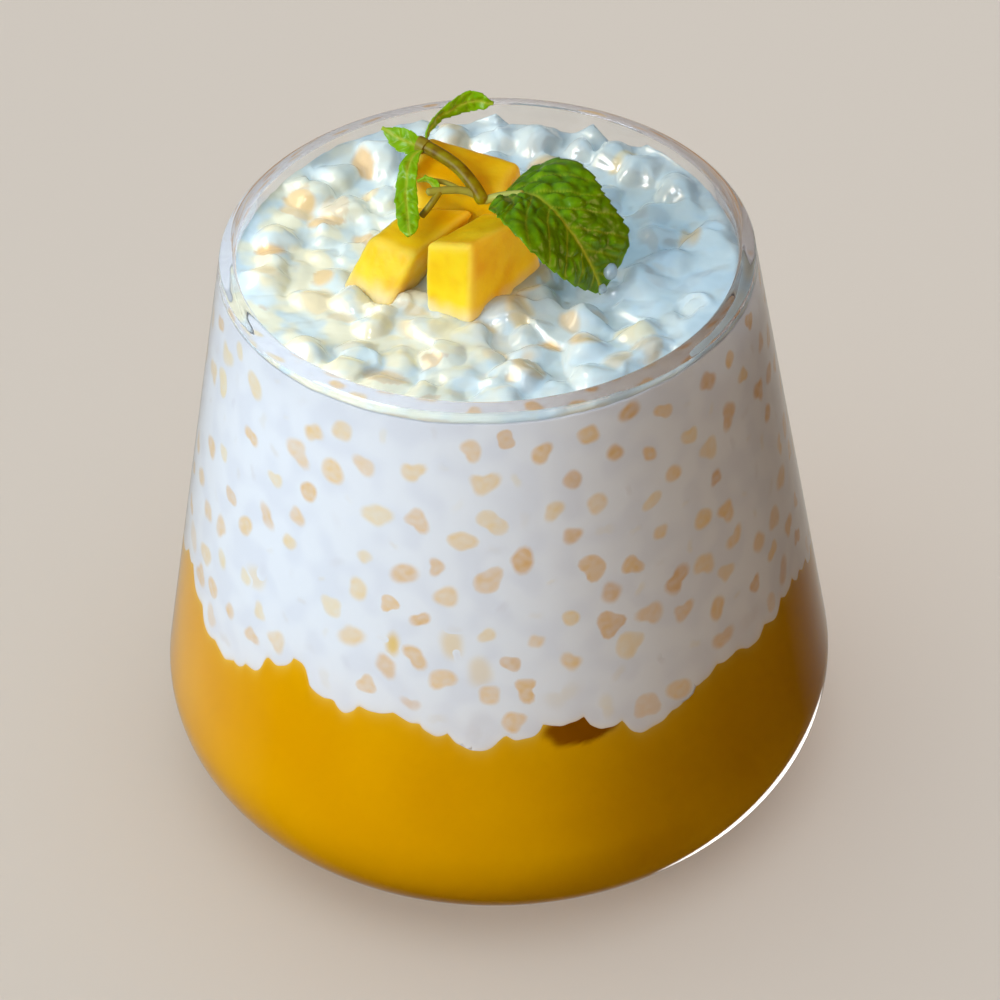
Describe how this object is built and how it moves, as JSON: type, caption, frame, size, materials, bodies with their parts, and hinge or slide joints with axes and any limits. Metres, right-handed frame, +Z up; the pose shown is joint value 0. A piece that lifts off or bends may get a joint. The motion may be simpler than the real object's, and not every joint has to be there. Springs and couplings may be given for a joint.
{
  "type": "tapioca pudding in a glass",
  "caption": "Tapered glass tumbler filled with mango puree below and tapioca pearls in cream above, topped with cut mango and a mint sprig; a chilled dessert ready to serve",
  "frame": {"origin": "middle of the glass's flat underside", "axes": "+Z up along the axis of the glass, -Y towards the front of the dessert, +X to its right"},
  "size_m": [0.1, 0.1, 0.1038],
  "materials": {
    "clear_glass": "clear soda-lime glass, fire-polished rim",
    "mango_puree": "smooth, opaque fruit puree",
    "tapioca_cream": "wet white cream with translucent pearls",
    "mango_flesh": "moist cut fruit",
    "mint_green": "crinkled fresh leaf with a waxy gloss"
  },
  "bodies": {
    "root": {"glass": "clear_glass", "mango_puree": "mango_puree", "tapioca_pudding": "tapioca_cream", "mango_piece_left": "mango_flesh", "mango_piece_front": "mango_flesh", "mango_piece_back": "mango_flesh", "mint_sprig": "mint_green"}
  },
  "joints": []
}
